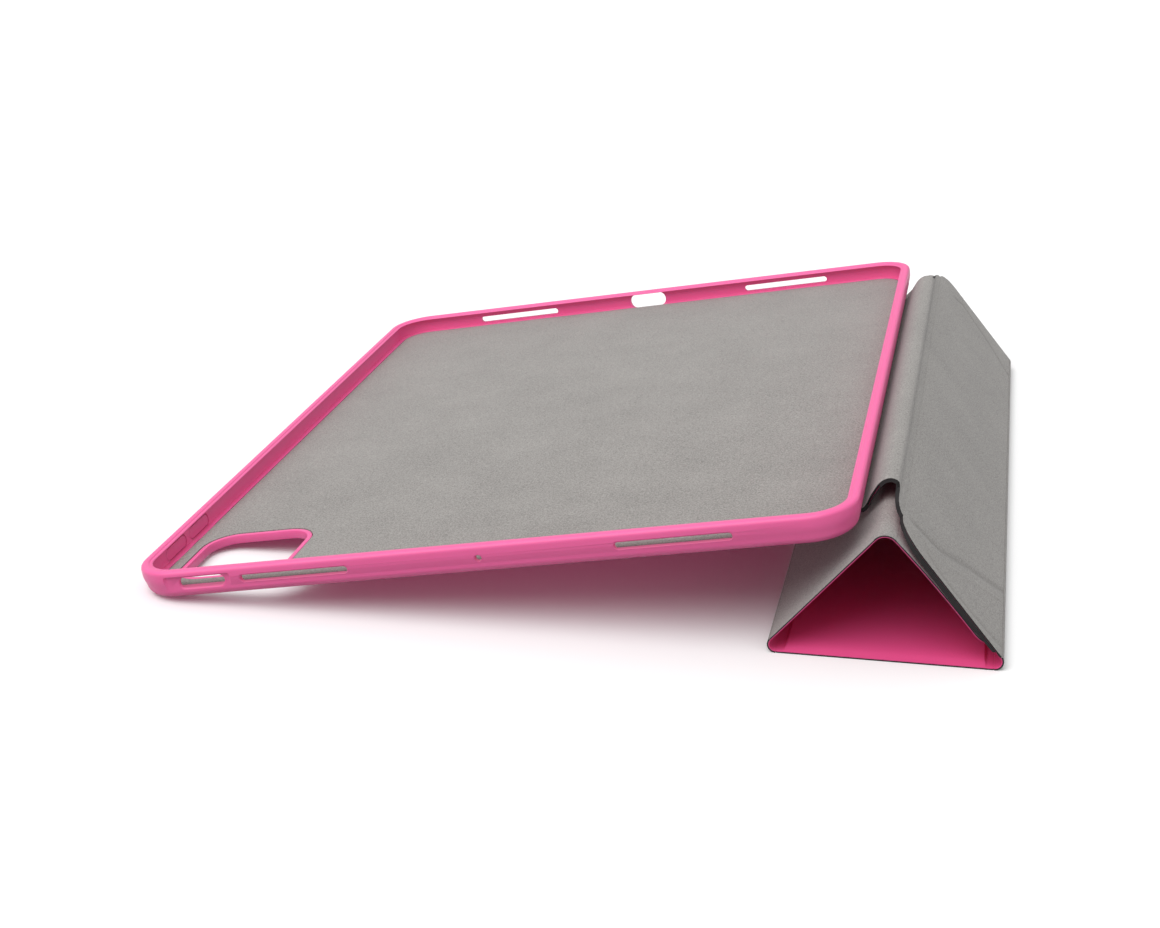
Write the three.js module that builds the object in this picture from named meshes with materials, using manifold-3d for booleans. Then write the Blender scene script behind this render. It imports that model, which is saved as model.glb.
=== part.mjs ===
// Folio case for a 13-inch tablet, standing on its folded cover.
// Millimetres, +Z up. X runs across the tray towards the hinge side, Y along the hinge.
import * as THREE from "three";
import { mergeVertices } from "three/addons/utils/BufferGeometryUtils.js";
import Module from "manifold-3d";

// Tray, in its own frame: origin at the middle of the flat underside.
const TRAY = { width: 220, length: 286, height: 9, corner: 14.5 };
const TRAY_EDGE = { lower: 3, upper: 1.6, draft: 0.8 };
const TILT = THREE.MathUtils.degToRad(9.5);
const BAY = { width: 216, length: 282.2, corner: 12.6, floor: 3, top: 8.2 };
const LIP_OPENING = { width: 213, length: 277.4, corner: 10.5 };
const BACK_POCKET = { width: 211, length: 277.2, corner: 10.1, floor: 1.1 };
const BACK_OPENING = { width: 206, length: 272.2, corner: 8 };

// Layers of the back, each from its lower to its upper face.
const BACK_SKIN = [0.15, 0.95];
const BACK_PLATE = [1.25, 2.35];
const BACK_LINER = [2.45, 3];
const PIECE_GAP = 0.3;

// Cut-outs in the walls.
const SLOT_HEIGHT_ABOVE_BASE = 4.9;
const SLOT_ROW_SHIFT = 0.9;
const SPEAKER_SLOT = { length: 34, height: 2.4, offset: 57.3 };
const MICROPHONE_HOLE = 2.1;
const POWER_SLOT = { length: 14.6, height: 3.5, offset: -86.9 };
const POWER_SCOOP = { length: 22, depth: 0.9, slope: 1.6, top: 7.3 };
const PORT_SLOT = { length: 15, height: 6 };
const WALL_CUT = 12;

// Volume keys in their raised pad on the long wall.
const KEY = { length: 15, height: 3.6, proud: 0.6, spacing: 18.4, travel: 0.6 };
const KEY_PAD = { length: 41, height: 5.4, proud: 1.2, centre: -101.2 };

// Camera window in the back, and the rim that lines it.
const CAMERA_WINDOW = { size: 37.6, corner: 10.5, centreX: -82.6, centreY: -115.6 };
const CAMERA_RIM = { size: 37, corner: 10.2, wall: 1.6, bottom: 0.15, top: 2.95 };

// Folded cover: section points in the X-Z plane, on the middle of the sheet.
const SHEET = 1.6;
const SPINE_SHEET = 1.2;
const LAYER_GAP = 0.1;
const PANEL_LENGTH = 284;
const SPINE_LENGTH = 230;
const BASE_HINGE = new THREE.Vector2(214.1, 34.6);
const CREST = new THREE.Vector2(221.3, 44.05);
const CREASE = new THREE.Vector2(224.5, 40.7);
const FRONT_CORNER = new THREE.Vector2(256.75, 0.8);
const REAR_CORNER = new THREE.Vector2(188.6, 0.8);
const APEX_CORNER = new THREE.Vector2(221.69, 38.89);
const FREE_EDGE = new THREE.Vector2(248.9, 7.4);
const FRONT_BEND = 1.8;
const REAR_BEND = 1.76;
const APEX_BEND = 3.26;
const HINGE_BEAD = 1.5;
const WING = { inner: 84, outer: 106.8, low: -1.3, high: -0.1 };
const SPINE_FLANK = [new THREE.Vector2(216.9, 39.9), new THREE.Vector2(218.3, 41.9)];
const CREST_CLEARANCE = 1.7;
const CREASE_CLEARANCE = 1.3;

// Board and magnets sealed inside the cover.
const BOARD_INSET = 3;
const MAGNET = { width: 7, length: 24, pitch: 62, count: 4, edge: 2.5 };
const SLEEP_MAGNET = { width: 7, length: 12, offset: -131 };

// Where the tray's own frame stands over the ground: its lower left edge touches Z = 0.
const TRAY_LEFT = -3.5;
const GLASS_PLANE = 8.1;
const GROUND_RISE = 7.98;

const SECTION_ANGLE = Math.PI / 2;

const finishes = {
  tpu: new THREE.MeshStandardMaterial({ color: 0xef5f9a, roughness: 0.5, metalness: 0 }),
  skin: new THREE.MeshStandardMaterial({ color: 0xe4598f, roughness: 0.6, metalness: 0 }),
  lining: new THREE.MeshStandardMaterial({ color: 0xa3a09c, roughness: 0.95, metalness: 0 }),
  board: new THREE.MeshStandardMaterial({ color: 0x3a3a3c, roughness: 0.8, metalness: 0 }),
  plate: new THREE.MeshStandardMaterial({ color: 0xd8d8d4, roughness: 0.6, metalness: 0 }),
  magnet: new THREE.MeshStandardMaterial({ color: 0x9a9da0, roughness: 0.35, metalness: 1 }),
};

const wasm = await Module();
wasm.setup();

// A closed three.js geometry as a solid that can be joined and cut.
function solidFrom(geometry) {
  const bare = geometry.index ? geometry.toNonIndexed() : geometry.clone();
  bare.deleteAttribute("normal");
  bare.deleteAttribute("uv");
  const merged = mergeVertices(bare, 1e-4);
  const mesh = new wasm.Mesh({
    numProp: 3,
    vertProperties: merged.attributes.position.array,
    triVerts: new Uint32Array(merged.index.array),
  });
  return new wasm.Manifold(mesh);
}

// The solid back as a three.js geometry.
function geometryFrom(solid) {
  const mesh = solid.getMesh();
  const geometry = new THREE.BufferGeometry();
  geometry.setAttribute("position", new THREE.BufferAttribute(mesh.vertProperties, 3));
  geometry.setIndex(new THREE.BufferAttribute(mesh.triVerts, 1));
  geometry.computeVertexNormals();
  return geometry;
}

function named(name, geometry, material) {
  const mesh = new THREE.Mesh(geometry, material);
  mesh.name = name;
  return mesh;
}

// A rectangle with round corners, centred on its own origin.
function roundedRectangle(width, length, corner) {
  const x = width / 2;
  const y = length / 2;
  const shape = new THREE.Shape();
  shape.moveTo(x - corner, -y);
  shape.absarc(x - corner, -y + corner, corner, -Math.PI / 2, 0, false);
  shape.absarc(x - corner, y - corner, corner, 0, Math.PI / 2, false);
  shape.absarc(-x + corner, y - corner, corner, Math.PI / 2, Math.PI, false);
  shape.absarc(-x + corner, -y + corner, corner, Math.PI, 1.5 * Math.PI, false);
  return shape;
}

// A flat slab of the given outline between two heights.
function slab(shape, low, high, curveSegments = 5) {
  const geometry = new THREE.ExtrudeGeometry(shape, {
    depth: high - low,
    bevelEnabled: false,
    curveSegments,
  });
  return geometry.translate(0, 0, low);
}

// A slab whose upper and lower edges are rounded.
function softSlab(width, length, corner, low, high, edge) {
  const geometry = new THREE.ExtrudeGeometry(roundedRectangle(width, length, corner), {
    depth: high - low - 2 * edge,
    bevelThickness: edge,
    bevelSize: edge,
    bevelOffset: -edge,
    bevelSegments: 3,
    curveSegments: 5,
  });
  return geometry.translate(0, 0, low + edge);
}

// A slot with round ends that cuts along Y through a short wall.
function wallSlot(length, height, x, y) {
  const outline = roundedRectangle(length, height, height / 2 - 0.01);
  const geometry = slab(outline, -WALL_CUT / 2, WALL_CUT / 2);
  geometry.rotateX(SECTION_ANGLE);
  return geometry.translate(x, y, SLOT_HEIGHT_ABOVE_BASE);
}

// A block with round ends on the long wall, between two depths measured outwards from it.
function sideBlock(length, height, inner, outer, y) {
  const outline = roundedRectangle(length, height, height / 2 - 0.01);
  const geometry = slab(outline, inner, outer);
  geometry.rotateZ(SECTION_ANGLE);
  geometry.rotateY(-SECTION_ANGLE);
  return geometry.translate(-TRAY.width / 2, y, SLOT_HEIGHT_ABOVE_BASE);
}

// The shallow finger scoop around the power slot, cut from outside.
function powerScoop(x) {
  const half = POWER_SCOOP.length / 2;
  const wall = -TRAY.length / 2;
  const shape = new THREE.Shape();
  shape.moveTo(x - half - POWER_SCOOP.slope, wall);
  shape.lineTo(x - half - POWER_SCOOP.slope, wall - WALL_CUT);
  shape.lineTo(x + half + POWER_SCOOP.slope, wall - WALL_CUT);
  shape.lineTo(x + half + POWER_SCOOP.slope, wall);
  shape.lineTo(x + half, wall + POWER_SCOOP.depth);
  shape.lineTo(x - half, wall + POWER_SCOOP.depth);
  return slab(shape, -WALL_CUT, POWER_SCOOP.top);
}

function keyCentre(index) {
  return KEY_PAD.centre + (index - 0.5) * KEY.spacing;
}

// One-piece bumper: wall, lip and the ledge that carries the back plate.
function trayFrame() {
  const middle = TRAY.height * 0.4;
  const { draft } = TRAY_EDGE;
  const lower = softSlab(
    TRAY.width - 2 * draft,
    TRAY.length - 2 * draft,
    TRAY.corner - draft,
    0,
    7.6,
    TRAY_EDGE.lower,
  );
  const upper = softSlab(TRAY.width, TRAY.length, TRAY.corner, middle, TRAY.height, TRAY_EDGE.upper);
  const bay = slab(roundedRectangle(BAY.width, BAY.length, BAY.corner), BAY.floor, BAY.top);
  const lip = slab(
    roundedRectangle(LIP_OPENING.width, LIP_OPENING.length, LIP_OPENING.corner),
    BAY.top - 1,
    TRAY.height + 1,
  );
  const pocket = slab(
    roundedRectangle(BACK_POCKET.width, BACK_POCKET.length, BACK_POCKET.corner),
    BACK_POCKET.floor,
    BAY.floor + 1,
  );
  const opening = slab(
    roundedRectangle(BACK_OPENING.width, BACK_OPENING.length, BACK_OPENING.corner),
    -1,
    BAY.floor,
  );
  const pad = sideBlock(KEY_PAD.length, KEY_PAD.height, -1, KEY_PAD.proud, KEY_PAD.centre);
  let frame = solidFrom(lower).add(solidFrom(upper)).add(solidFrom(pad));
  for (const hollow of [bay, lip, pocket, opening]) frame = frame.subtract(solidFrom(hollow));
  for (const side of [-1, 1]) {
    for (const end of [-1, 1]) {
      const x = SLOT_ROW_SHIFT + side * SPEAKER_SLOT.offset;
      const slot = wallSlot(SPEAKER_SLOT.length, SPEAKER_SLOT.height, x, (end * TRAY.length) / 2);
      frame = frame.subtract(solidFrom(slot));
    }
  }
  const near = -TRAY.length / 2;
  const powerX = SLOT_ROW_SHIFT + POWER_SLOT.offset;
  const cuts = [
    wallSlot(MICROPHONE_HOLE, MICROPHONE_HOLE, SLOT_ROW_SHIFT, near),
    wallSlot(POWER_SLOT.length, POWER_SLOT.height, powerX, near),
    powerScoop(powerX),
    wallSlot(PORT_SLOT.length, PORT_SLOT.height, 0, TRAY.length / 2),
  ];
  for (const index of [0, 1]) {
    const length = KEY.length + 2 * PIECE_GAP;
    const height = KEY.height + 2 * PIECE_GAP;
    cuts.push(sideBlock(length, height, -WALL_CUT / 2, WALL_CUT / 2, keyCentre(index)));
  }
  for (const cut of cuts) frame = frame.subtract(solidFrom(cut));
  return named("tray_frame", geometryFrom(frame), finishes.tpu);
}

// One flat layer of the back, with the camera window cut through it.
function backLayer(name, hollow, layer, material) {
  const window = roundedRectangle(CAMERA_WINDOW.size, CAMERA_WINDOW.size, CAMERA_WINDOW.corner);
  const outline = roundedRectangle(
    hollow.width - 2 * PIECE_GAP,
    hollow.length - 2 * PIECE_GAP,
    hollow.corner - PIECE_GAP,
  );
  const hole = slab(window, -1, TRAY.height);
  hole.translate(CAMERA_WINDOW.centreX, CAMERA_WINDOW.centreY, 0);
  const plate = solidFrom(slab(outline, layer[0], layer[1])).subtract(solidFrom(hole));
  return named(name, geometryFrom(plate), material);
}

// The rim that lines the camera window.
function cameraRim() {
  const { size, corner, wall, bottom, top } = CAMERA_RIM;
  const outer = solidFrom(slab(roundedRectangle(size, size, corner), bottom, top));
  const inside = roundedRectangle(size - 2 * wall, size - 2 * wall, corner - wall);
  const rim = outer.subtract(solidFrom(slab(inside, bottom - 1, top + 1)));
  const mesh = named("camera_rim", geometryFrom(rim), finishes.tpu);
  mesh.position.set(CAMERA_WINDOW.centreX, CAMERA_WINDOW.centreY, 0);
  return mesh;
}

// The glued end of the cover, flat under the back beside the hinge side.
function spineWing() {
  const outline = roundedRectangle(WING.outer - WING.inner, SPINE_LENGTH, 4);
  const wing = slab(outline, WING.low, WING.high);
  wing.translate((WING.inner + WING.outer) / 2, 0, 0);
  return named("spine_wing", wing, finishes.skin);
}

// A volume key: it slides in its own window in the wall.
function volumeKey(name, index) {
  const wall = (TRAY.width - BAY.width) / 2;
  const proud = KEY_PAD.proud + KEY.proud;
  const block = sideBlock(KEY.length, KEY.height, -wall + 0.1, proud, keyCentre(index));
  return named(name, block, finishes.tpu);
}

function tray() {
  const group = new THREE.Group();
  group.add(trayFrame());
  group.add(backLayer("back_skin", BACK_OPENING, BACK_SKIN, finishes.skin));
  group.add(backLayer("back_plate", BACK_POCKET, BACK_PLATE, finishes.plate));
  group.add(backLayer("back_liner", BACK_POCKET, BACK_LINER, finishes.lining));
  group.add(cameraRim());
  group.add(spineWing());
  group.add(volumeKey("volume_up_key", 0));
  group.add(volumeKey("volume_down_key", 1));
  const across = TRAY_LEFT + TRAY.width / 2;
  group.rotation.y = -TILT;
  group.position.set(
    across * Math.cos(TILT) + GLASS_PLANE * Math.sin(TILT),
    0,
    across * Math.sin(TILT) - GLASS_PLANE * Math.cos(TILT) + GROUND_RISE,
  );
  return group;
}

// Tangent points of a bend of the given radius between two straight panels that meet at a corner.
function bend(before, corner, after, radius) {
  const back = before.clone().sub(corner).normalize();
  const ahead = after.clone().sub(corner).normalize();
  const half = Math.acos(back.dot(ahead)) / 2;
  const reach = radius / Math.tan(half);
  const middle = back.clone().add(ahead).normalize();
  return {
    start: corner.clone().addScaledVector(back, reach),
    end: corner.clone().addScaledVector(ahead, reach),
    axis: corner.clone().addScaledVector(middle, radius / Math.sin(half) - radius),
  };
}

// A sheet that follows section points: its lower and upper faces are offsets from them.
function strip(points, low, high, length) {
  const lowSide = [];
  const highSide = [];
  points.forEach((point, index) => {
    const from = points[Math.max(index - 1, 0)];
    const to = points[Math.min(index + 1, points.length - 1)];
    const along = to.clone().sub(from).normalize();
    const normal = new THREE.Vector2(-along.y, along.x);
    lowSide.push(point.clone().addScaledVector(normal, low));
    highSide.push(point.clone().addScaledVector(normal, high));
  });
  const outline = new THREE.Shape([...lowSide, ...highSide.reverse()]);
  const geometry = slab(outline, -length / 2, length / 2);
  return geometry.rotateX(SECTION_ANGLE);
}

// The rolled crease of the soft sheet, as a round bead on the fold's axis.
function creaseBead(name, axis, radius, length) {
  const bead = new THREE.CylinderGeometry(radius, radius, length, 12);
  bead.translate(axis.x, 0, axis.y);
  return named(name, bead, finishes.lining);
}

// Frame of a panel: local X along the section from start to end, local Z towards the lining.
function panelGroup(start, end) {
  const group = new THREE.Group();
  const angle = Math.atan2(end.y - start.y, end.x - start.x);
  group.position.set(start.x, 0, start.y);
  group.rotation.y = -angle;
  return group;
}

// Outline of a panel from its fold at local X = 0, with its own corner rounding at each end.
function panelOutline(width, inset, startCorner, endCorner) {
  const y = PANEL_LENGTH / 2 - inset;
  const low = inset;
  const high = width - inset;
  const shape = new THREE.Shape();
  shape.moveTo(low + startCorner, -y);
  shape.absarc(high - endCorner, -y + endCorner, endCorner, -Math.PI / 2, 0, false);
  shape.absarc(high - endCorner, y - endCorner, endCorner, 0, Math.PI / 2, false);
  shape.absarc(low + startCorner, y - startCorner, startCorner, Math.PI / 2, Math.PI, false);
  shape.absarc(low + startCorner, -y + startCorner, startCorner, Math.PI, 1.5 * Math.PI, false);
  return shape;
}

// A cover panel: outer skin, stiffening board and microfibre lining, from one fold to the next.
function coverPanel(index, start, end, options) {
  const group = panelGroup(start, end);
  const width = start.distanceTo(end);
  const startCorner = options.startCorner ?? 1;
  const endCorner = options.endCorner ?? 1;
  const outline = panelOutline(width, 0, startCorner, endCorner);
  const third = (SHEET - 2 * LAYER_GAP) / 7;
  const skinTop = -SHEET / 2 + 2 * third;
  const liningBase = SHEET / 2 - 2 * third;
  const boardShape = panelOutline(width, BOARD_INSET, startCorner, endCorner);
  const boardLow = skinTop + LAYER_GAP;
  const boardHigh = liningBase - LAYER_GAP;
  const boardSlab = slab(boardShape, boardLow, boardHigh);
  group.add(named(`panel_${index}_skin`, slab(outline, -SHEET / 2, skinTop), finishes.skin));
  group.add(named(`panel_${index}_lining`, slab(outline, liningBase, SHEET / 2), finishes.lining));
  if (!options.magnets) {
    group.add(named(`panel_${index}_board`, boardSlab, finishes.board));
    return group;
  }
  const magnetX = width - BOARD_INSET - MAGNET.edge - MAGNET.width / 2;
  const pockets = [];
  for (let number = 0; number < MAGNET.count; number += 1) {
    const y = (number - (MAGNET.count - 1) / 2) * MAGNET.pitch;
    pockets.push({ name: `${options.magnets}_${number + 1}`, y, length: MAGNET.length });
  }
  if (options.sleep) {
    pockets.push({ name: "sleep_magnet", y: SLEEP_MAGNET.offset, length: SLEEP_MAGNET.length });
  }
  let board = solidFrom(boardSlab);
  for (const pocket of pockets) {
    const margin = 2 * PIECE_GAP;
    const hole = new THREE.BoxGeometry(MAGNET.width + margin, pocket.length + margin, SHEET);
    hole.translate(magnetX, pocket.y, 0);
    board = board.subtract(solidFrom(hole));
    const bar = new THREE.BoxGeometry(MAGNET.width, pocket.length, boardHigh - boardLow);
    const mesh = named(pocket.name, bar, finishes.magnet);
    mesh.position.set(magnetX, pocket.y, 0);
    group.add(mesh);
  }
  group.add(named(`panel_${index}_board`, geometryFrom(board), finishes.board));
  return group;
}

// The point a given distance from one point towards another.
function towards(from, to, distance) {
  return from.clone().addScaledVector(to.clone().sub(from).normalize(), distance);
}

// The spine: a flank that stands beside the tray wall, a rounded crest and a short outer leaf.
function spine() {
  const group = new THREE.Group();
  const half = SPINE_SHEET / 2;
  const leafTop = -0.05;
  const flankStart = towards(BASE_HINGE, SPINE_FLANK[0], HINGE_BEAD + 0.45);
  const flankEnd = towards(CREST, SPINE_FLANK[1], CREST_CLEARANCE);
  const flank = [flankStart, ...SPINE_FLANK, flankEnd];
  const stiffener = [towards(flankStart, SPINE_FLANK[0], 0.8), SPINE_FLANK[0]];
  const leaf = [towards(CREST, CREASE, CREST_CLEARANCE), towards(CREASE, CREST, CREASE_CLEARANCE)];
  const pieces = [
    ["spine_flank_skin", flank, -half, -0.25, SPINE_LENGTH, finishes.skin],
    ["spine_stiffener", stiffener, -0.15, 0.15, SPINE_LENGTH - 2 * BOARD_INSET, finishes.board],
    ["spine_flank_lining", flank, 0.25, half, SPINE_LENGTH, finishes.lining],
    ["spine_leaf_skin", leaf, -half, leafTop, SPINE_LENGTH, finishes.skin],
    ["spine_leaf_lining", leaf, -leafTop, half, SPINE_LENGTH, finishes.lining],
  ];
  for (const [name, points, low, high, length, material] of pieces) {
    group.add(named(name, strip(points, low, high, length), material));
  }
  group.add(creaseBead("spine_base_crease", BASE_HINGE, HINGE_BEAD, SPINE_LENGTH));
  group.add(creaseBead("spine_crest_crease", CREST, half, SPINE_LENGTH));
  group.add(creaseBead("cover_crease", CREASE, half, SPINE_LENGTH));
  return group;
}

function cover() {
  const group = new THREE.Group();
  const front = bend(CREASE, FRONT_CORNER, REAR_CORNER, FRONT_BEND);
  const rear = bend(FRONT_CORNER, REAR_CORNER, APEX_CORNER, REAR_BEND);
  const apex = bend(REAR_CORNER, APEX_CORNER, FREE_EDGE, APEX_BEND);
  const firstStart = towards(CREASE, FRONT_CORNER, CREASE_CLEARANCE);
  const bead = SHEET / 2;
  group.add(coverPanel(1, firstStart, front.start, { startCorner: 9, magnets: "keeper_magnet" }));
  group.add(coverPanel(2, front.end, rear.start, {}));
  group.add(coverPanel(3, rear.end, apex.start, {}));
  group.add(coverPanel(4, apex.end, FREE_EDGE, { endCorner: 4, magnets: "hold_magnet", sleep: true }));
  group.add(creaseBead("front_crease", front.axis, bead, PANEL_LENGTH - 2));
  group.add(creaseBead("rear_crease", rear.axis, bead, PANEL_LENGTH - 2));
  group.add(creaseBead("apex_crease", apex.axis, bead, PANEL_LENGTH - 2));
  return group;
}

// The whole case, standing on Z = 0 with its origin under the middle of its box.
function tabletCase() {
  const group = new THREE.Group();
  group.add(tray(), spine(), cover());
  const box = new THREE.Box3().setFromObject(group, true);
  const centre = box.getCenter(new THREE.Vector3());
  group.position.set(-centre.x, -centre.y, -box.min.z);
  return group;
}

export default tabletCase();
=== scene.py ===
import math

import bpy
from mathutils import Matrix, Vector


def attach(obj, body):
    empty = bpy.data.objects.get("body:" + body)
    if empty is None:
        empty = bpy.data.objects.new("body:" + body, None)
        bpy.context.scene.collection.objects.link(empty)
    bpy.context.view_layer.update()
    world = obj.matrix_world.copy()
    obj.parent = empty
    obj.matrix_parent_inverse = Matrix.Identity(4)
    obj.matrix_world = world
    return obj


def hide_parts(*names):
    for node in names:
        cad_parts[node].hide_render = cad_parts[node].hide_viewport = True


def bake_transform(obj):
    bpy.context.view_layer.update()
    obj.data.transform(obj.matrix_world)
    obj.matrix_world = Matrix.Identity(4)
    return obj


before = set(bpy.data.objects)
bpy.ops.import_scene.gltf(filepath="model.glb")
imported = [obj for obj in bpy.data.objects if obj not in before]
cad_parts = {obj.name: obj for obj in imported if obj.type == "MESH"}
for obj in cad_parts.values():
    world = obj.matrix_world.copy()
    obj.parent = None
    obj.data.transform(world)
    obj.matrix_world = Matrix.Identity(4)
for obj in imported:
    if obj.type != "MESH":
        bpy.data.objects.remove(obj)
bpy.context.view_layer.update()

bpy.ops.object.select_all(action="DESELECT")
MM = 0.001

# ---------------------------------------------------------------------------
# Camera: a long lens a little above the case, looking along the hinge from
# the end with the microphone hole.
# ---------------------------------------------------------------------------
CAMERA_PLACE = Vector((0.12022, -0.64705, 0.24229))
CAMERA_RIGHT = Vector((0.9783, 0.2071, -0.0103))
CAMERA_UP = Vector((-0.0617, 0.3383, 0.9390))
LENS_MM = 61.2
SENSOR_MM = 36

bpy.ops.object.camera_add()
camera = bpy.context.object
right = CAMERA_RIGHT.normalized()
back = right.cross(CAMERA_UP).normalized()
upward = back.cross(right)
camera.matrix_world = Matrix.Translation(CAMERA_PLACE) @ Matrix((right, upward, back)).transposed().to_4x4()
camera.data.lens = LENS_MM
camera.data.sensor_width = SENSOR_MM
camera.data.clip_start = 0.01
bpy.context.scene.camera = camera
camera.select_set(False)

# ---------------------------------------------------------------------------
# Floor and light: a white sweep under one wide soft light, in a pale room that
# is brighter overhead. The sweep gives the case itself no diffuse light.
# ---------------------------------------------------------------------------


def linear(colour):
    """The linear value of an sRGB hex colour, with alpha 1."""
    channels = [int(colour[at:at + 2], 16) / 255 for at in (1, 3, 5)]
    return [c / 12.92 if c <= 0.04045 else ((c + 0.055) / 1.055) ** 2.4 for c in channels] + [1]


def add_node(material, kind, inputs=None, links=None, **settings):
    """Adds one node, sets its settings and sockets, and links outputs of other nodes to it."""
    node = material.node_tree.nodes.new(kind)
    for name, value in settings.items():
        setattr(node, name, value)
    for name, value in (inputs or {}).items():
        node.inputs[name].default_value = value
    for name, output in (links or {}).items():
        material.node_tree.links.new(output, node.inputs[name])
    return node


def new_material(name, **sockets):
    """A Principled material with its constants set on the shader's own sockets."""
    material = bpy.data.materials.new(name)
    material.use_nodes = True
    shader = material.node_tree.nodes["Principled BSDF"]
    for socket, value in sockets.items():
        shader.inputs[socket.replace("_", " ")].default_value = value
    return material, shader


bpy.context.scene.view_settings.view_transform = "Standard"
world = bpy.data.worlds.new("white_room")
bpy.context.scene.world = world
world.use_nodes = True
sky = add_node(world, "ShaderNodeTexCoord")
height = add_node(world, "ShaderNodeSeparateXYZ", links={"Vector": sky.outputs["Generated"]})
height_share = add_node(world, "ShaderNodeMapRange", {"From Min": -1.0, "From Max": 1.0})
world.node_tree.links.new(height.outputs["Z"], height_share.inputs["Value"])
dome = add_node(world, "ShaderNodeValToRGB", links={"Fac": height_share.outputs["Result"]})
dome.color_ramp.elements[0].position = 0.42
dome.color_ramp.elements[0].color = (0.3, 0.3, 0.3, 1)
dome.color_ramp.elements[1].position = 0.88
dome.color_ramp.elements[1].color = (0.68, 0.68, 0.68, 1)
horizon = dome.color_ramp.elements.new(0.48)
horizon.color = (0.52, 0.52, 0.52, 1)
world.node_tree.links.new(dome.outputs["Color"], world.node_tree.nodes["Background"].inputs["Color"])

bpy.ops.mesh.primitive_plane_add(size=14, location=(0, 3, 0))
floor = bpy.context.object
floor.name = "floor"
bpy.ops.object.transform_apply(location=True, rotation=True, scale=True)
paper, paper_shader = new_material("matt_paper_sweep", Roughness=0.9, Specular_IOR_Level=0.1)
paper_grain = add_node(paper, "ShaderNodeTexNoise", {"Scale": 40, "Detail": 3})
paper_tone = add_node(paper, "ShaderNodeMix", data_type="RGBA", links={"Factor": paper_grain.outputs["Fac"]})
paper_tone.inputs["A"].default_value = linear("#f8f8f8")
paper_tone.inputs["B"].default_value = linear("#fbfbfb")
paper.node_tree.links.new(paper_tone.outputs["Result"], paper_shader.inputs["Base Color"])
floor.data.materials.append(paper)
floor.visible_diffuse = False
floor.select_set(False)

bpy.ops.object.light_add(type="SUN", location=(-0.4, -0.5, 1.2))
overhead = bpy.context.object
overhead.name = "overhead_silk"
overhead.data.energy = 2.05
overhead.data.angle = math.radians(60)
overhead.rotation_euler = (math.radians(25), math.radians(-20), 0)
overhead.select_set(False)

# ---------------------------------------------------------------------------
# Bumper frame: one injection moulding of soft TPU, with a bottom rim, a wall,
# and a lip that snaps over the edge of the tablet. Cut-outs are moulded in.
# ---------------------------------------------------------------------------
TILT = math.radians(9.5)
TRAY_PLACE = Vector((-18.8273, 0, 17.5682)) * MM
HALF_WIDTH = 110
HALF_LENGTH = 143
CORNER = 14.5
CORNER_STEPS = 14


def named(name):
    """The primitive that was just added, with its object and mesh named."""
    piece = bpy.context.object
    piece.name = name
    piece.data.name = name
    return piece


def stand_tray(piece):
    """Tilts a piece made in the tray's own frame and puts it where the tray stands."""
    piece.data.transform(Matrix.Translation(TRAY_PLACE) @ Matrix.Rotation(-TILT, 4, "Y"))
    piece.data.update()


def outline_ring(inset_x, inset_y, corner, height):
    """A rounded rectangle of edges at one height: a plane with its four corners bevelled."""
    bpy.ops.mesh.primitive_plane_add(size=2, location=(0, 0, height * MM))
    ring = bpy.context.object
    ring.scale = ((HALF_WIDTH - inset_x) * MM, (HALF_LENGTH - inset_y) * MM, 1)
    bpy.ops.object.transform_apply(location=True, rotation=True, scale=True)
    bpy.ops.object.mode_set(mode="EDIT")
    bpy.ops.mesh.select_all(action="SELECT")
    bpy.ops.mesh.bevel(offset=corner * MM, segments=CORNER_STEPS, affect="VERTICES", clamp_overlap=False)
    bpy.ops.mesh.select_all(action="SELECT")
    bpy.ops.mesh.delete(type="ONLY_FACE")
    bpy.ops.object.mode_set(mode="OBJECT")
    return ring


def arc(centre, radius, start, end, steps):
    """Points of a section on an arc, angles in degrees."""
    angles = [math.radians(start + (end - start) * step / steps) for step in range(steps + 1)]
    return [(centre[0] + radius * math.cos(a), centre[1] + radius * math.sin(a)) for a in angles]


# The moulding's section: how far in from the outer wall, and how high over the underside.
wall_section = [(7.0, 1.1), (7.0, 0.3), (6.7, 0.0), (5.2, 0.0)]
wall_section += arc((3.8, 3.0), 3.0, 270, 180, 7)
wall_section += [(0.42, 4.1), (0.12, 5.2), (0.0, 6.2), (0.0, 7.2)]
wall_section += arc((1.25, 7.75), 1.25, 180, 90, 6)
wall_section += [(1.9, 9.02), (2.3, 8.98), (2.5, 8.8), (2.6, 8.62)]
wall_section += [(2.8, 8.58), (3.1, 8.56), (3.35, 8.48), (3.5, 8.3), (3.48, 8.15), (3.3, 8.08)]
wall_section += [(2.3, 8.08), (2.0, 7.8), (2.0, 5.0), (2.0, 3.3), (2.1, 3.0), (4.5, 3.0), (4.5, 1.1)]

rings = []
for inset, height in wall_section:
    if inset > 2.4 and height > 4:
        inset_y = inset * 4.3 / 3.5
    else:
        inset_y = inset
    rings.append(outline_ring(inset, inset_y, CORNER - 1.12 * inset, height))
ring_size = len(rings[0].data.vertices)
ring_edges = [tuple(edge.vertices) for edge in rings[0].data.edges]
points = [vertex.co.copy() for ring in rings for vertex in ring.data.vertices]
walls = []
for at in range(len(rings)):
    here, there = at * ring_size, (at + 1) % len(rings) * ring_size
    walls += [(here + a, here + b, there + b, there + a) for a, b in ring_edges]
bumper = rings[0]
bumper.name = "bumper_frame"
bumper.data = bpy.data.meshes.new("bumper_frame")
bumper.data.from_pydata(points, [], walls)
for ring in rings[1:]:
    bpy.data.objects.remove(ring)
bpy.ops.object.select_all(action="DESELECT")
bumper.select_set(True)
bpy.context.view_layer.objects.active = bumper
bpy.ops.object.mode_set(mode="EDIT")
bpy.ops.mesh.select_all(action="SELECT")
bpy.ops.mesh.normals_make_consistent(inside=False)
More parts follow.
